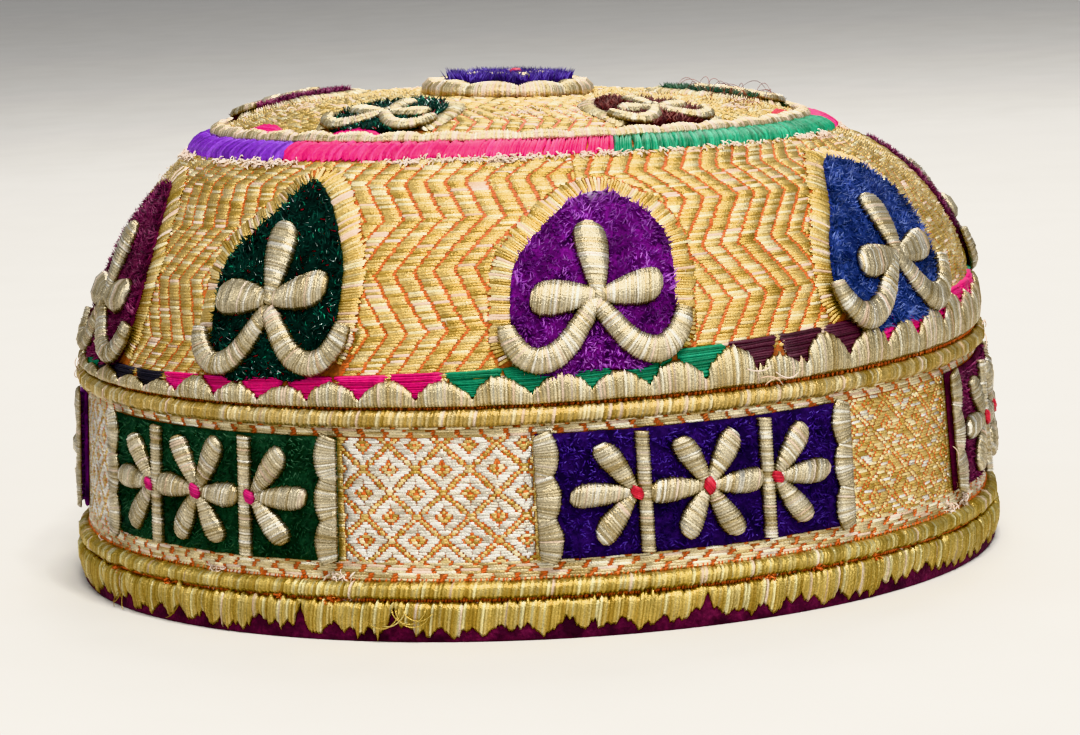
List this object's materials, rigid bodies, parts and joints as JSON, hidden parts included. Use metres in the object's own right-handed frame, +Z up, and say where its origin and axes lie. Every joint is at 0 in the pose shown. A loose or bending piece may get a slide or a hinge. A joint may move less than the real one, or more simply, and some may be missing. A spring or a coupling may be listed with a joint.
{
  "type": "embroidered skullcap",
  "caption": "Round padded skullcap with an upright band and a domed crown, covered with gilt embroidery, velvet patches and silk trims, open below for the head.",
  "frame": {"origin": "centre of the round rim, on the plane the cap rests on", "axes": "+Z up through the crown, -Y towards the front of the cap as pictured, +X towards its right side in the picture"},
  "size_m": [0.1858, 0.1858, 0.0958],
  "materials": {
    "brocade": "gilt thread laid on cotton, satin",
    "gold_thread": "gilt thread in satin stitch, bright",
    "silver_gold_thread": "pale gilt thread in padded satin stitch, bright",
    "silk_floss": "silk floss, soft sheen",
    "velvet_maroon": "cut velvet",
    "velvet_violet": "cut velvet",
    "velvet_green": "cut velvet",
    "velvet_purple": "cut velvet",
    "velvet_blue": "cut velvet",
    "velvet_dark": "cut velvet with glitter threads",
    "velvet_brown": "cut velvet"
  },
  "bodies": {
    "root": {"band": "brocade", "crown_side": "brocade", "crown_top": "brocade", "rim_binding": "velvet_maroon", "rim_edging": "gold_thread", "rim_piping": "gold_thread", "seam_piping": "gold_thread", "top_cord": "gold_thread", "medallion_border": "gold_thread", "medallion_flower": "gold_thread", "seam_scallops": "silver_gold_thread", "seam_silk": "silk_floss", "top_silk_ring": "silk_floss", "medallion": "velvet_violet", "heart_1": "velvet_purple", "heart_2": "velvet_blue", "heart_3": "velvet_maroon", "heart_4": "velvet_green", "heart_5": "velvet_violet", "heart_6": "velvet_brown", "heart_7": "velvet_maroon", "heart_8": "velvet_dark", "top_heart_1": "velvet_brown", "top_heart_2": "velvet_green", "top_heart_3": "velvet_blue", "top_heart_4": "velvet_maroon", "top_heart_5": "velvet_dark", "panel_1": "velvet_violet", "panel_2": "velvet_maroon", "panel_3": "velvet_blue", "panel_4": "velvet_green", "panel_5": "velvet_purple", "panel_6": "velvet_green", "trefoil_1": "silver_gold_thread", "trefoil_2": "silver_gold_thread", "trefoil_3": "silver_gold_thread", "trefoil_4": "silver_gold_thread", "trefoil_5": "silver_gold_thread", "trefoil_6": "silver_gold_thread", "trefoil_7": "silver_gold_thread", "trefoil_8": "silver_gold_thread", "top_trefoil_1": "silver_gold_thread", "top_trefoil_2": "silver_gold_thread", "top_trefoil_3": "silver_gold_thread", "top_trefoil_4": "silver_gold_thread", "top_trefoil_5": "silver_gold_thread", "panel_flowers_1": "silver_gold_thread", "panel_flowers_2": "silver_gold_thread", "panel_flowers_3": "silver_gold_thread", "panel_flowers_4": "silver_gold_thread", "panel_flowers_5": "silver_gold_thread", "panel_flowers_6": "silver_gold_thread"}
  },
  "joints": []
}
